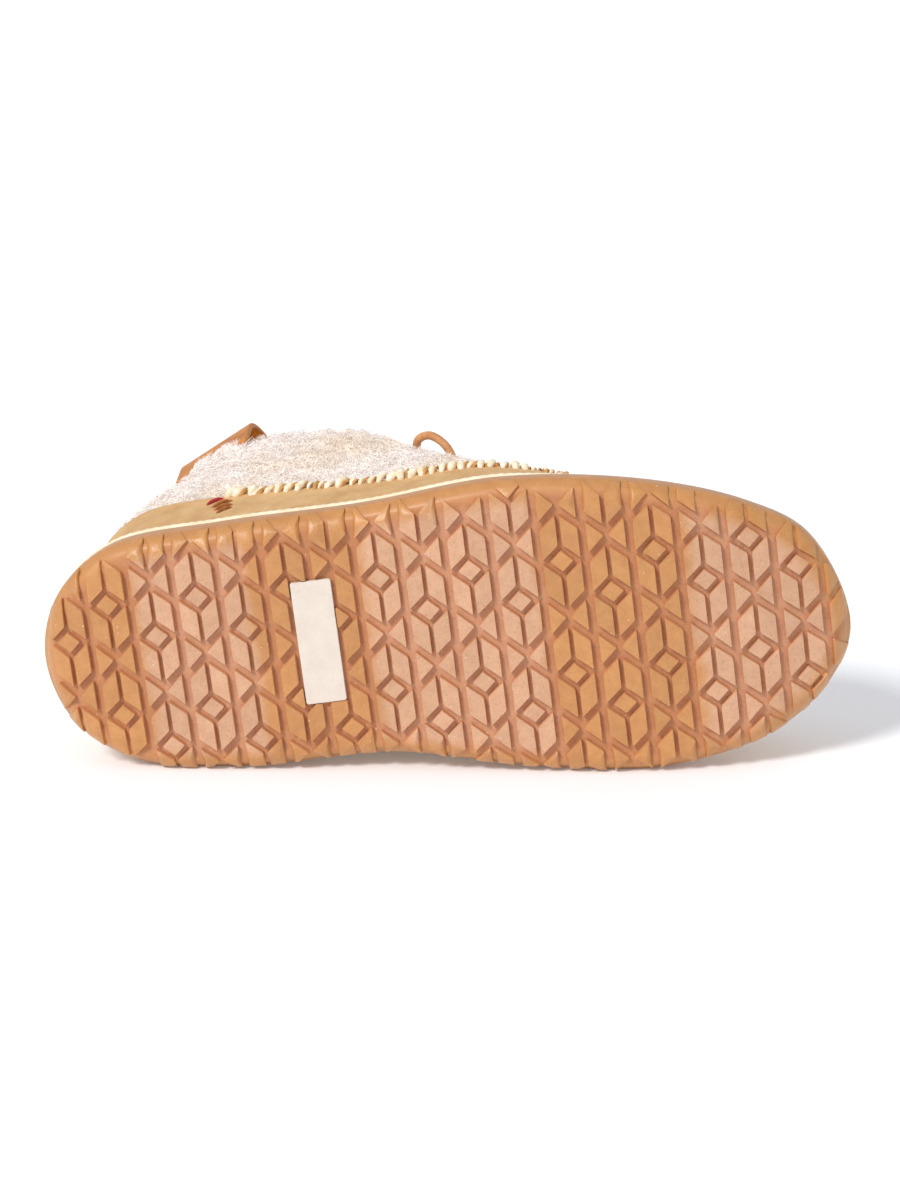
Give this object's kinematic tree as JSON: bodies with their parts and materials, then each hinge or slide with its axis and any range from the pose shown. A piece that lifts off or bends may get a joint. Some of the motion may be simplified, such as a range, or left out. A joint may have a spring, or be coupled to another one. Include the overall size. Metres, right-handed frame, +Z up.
{
  "type": "slipper boot",
  "caption": "Ankle slipper boot for the right foot, fleece upper with a suede rand, leather pull tab and lace bow, on a rubber sole with a geometric tread, lying on its side.",
  "frame": {"origin": "centre of the lying shoe's box on the floor, without the lace", "axes": "+Z up from the floor, +X from heel to toe along the floor, and the sole faces -Y"},
  "size_m": [0.268, 0.137, 0.1001],
  "materials": {
    "gum_rubber": "moulded amber gum rubber with matte pinkish lug tops",
    "label": "smooth cream inlay",
    "binding_cord": "cream cotton cord",
    "footbed": "fleece covered footbed",
    "fleece": "curly cream pile fleece",
    "suede": "tan suede nap",
    "leather": "smooth brown leather with cut edges",
    "lace": "round brown leather lace"
  },
  "bodies": {
    "root": {"outsole": "gum_rubber", "label_plate": "label", "binding": "binding_cord", "insole": "footbed", "upper": "fleece", "suede_rand": "suede", "pull_tab": "leather", "lace_knot": "lace", "lace_loop_outer": "lace", "lace_loop_inner": "lace", "lace_end_outer": "lace", "lace_end_inner": "lace"}
  },
  "joints": []
}
